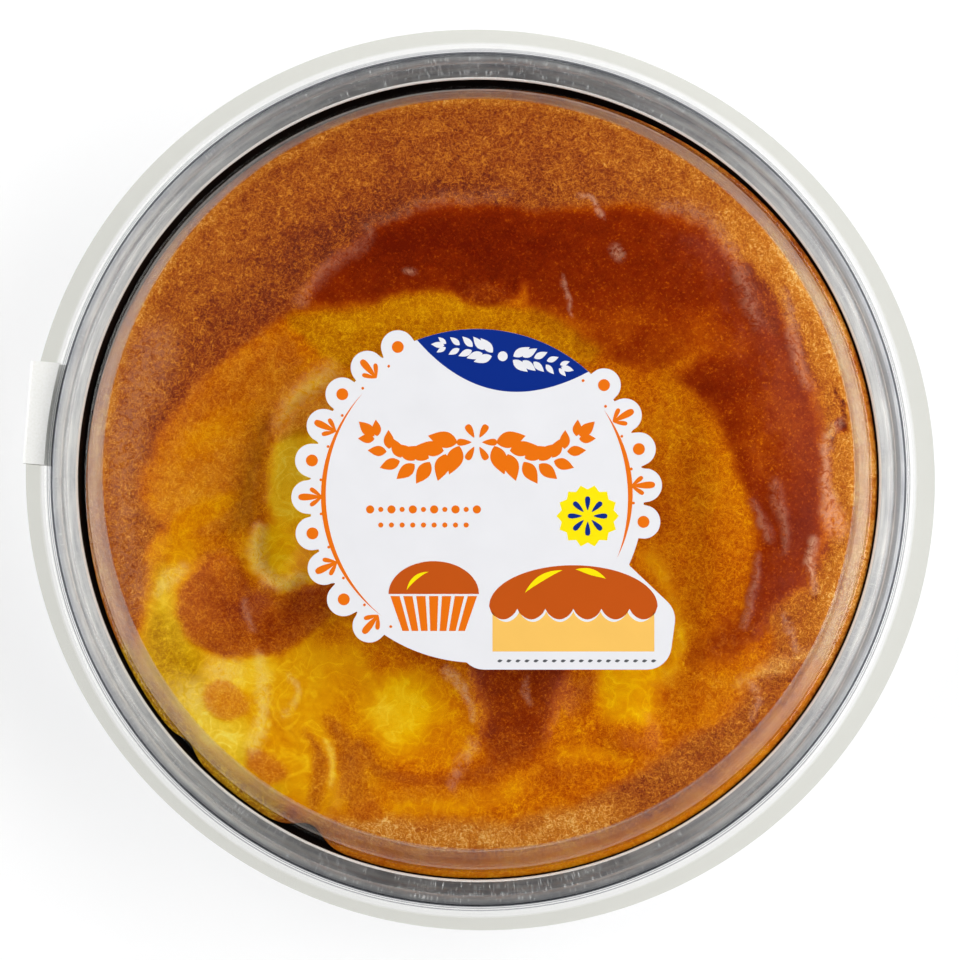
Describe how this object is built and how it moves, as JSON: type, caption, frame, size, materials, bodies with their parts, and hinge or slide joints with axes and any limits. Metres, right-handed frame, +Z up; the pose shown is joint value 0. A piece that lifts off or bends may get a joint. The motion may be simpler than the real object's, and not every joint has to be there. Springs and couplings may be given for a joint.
{
  "type": "cream cake in a lidded tray",
  "caption": "Round baked cream cake with custard swirls in an aluminium tray, shut under a clear domed lid with a die-cut label and a paper seal.",
  "frame": {"origin": "the middle of the tray's flat base, on the surface that the pack stands on", "axes": "+Z up through the lid; +X to the right and +Y to the top of the label, as it reads from above"},
  "size_m": [0.2273, 0.2248, 0.0626],
  "materials": {
    "tray_aluminium": "rolled, satin, with fine scratches",
    "baked_cake": "baked sponge and custard, browned, with a moist glaze",
    "lid_clear": "clear formed sheet, gloss",
    "label_print": "printed sticker, satin",
    "seal_paper": "paper tape, matt"
  },
  "bodies": {
    "root": {"tray": "tray_aluminium", "cake": "baked_cake", "lid": "lid_clear", "label": "label_print", "seal": "seal_paper"}
  },
  "joints": []
}
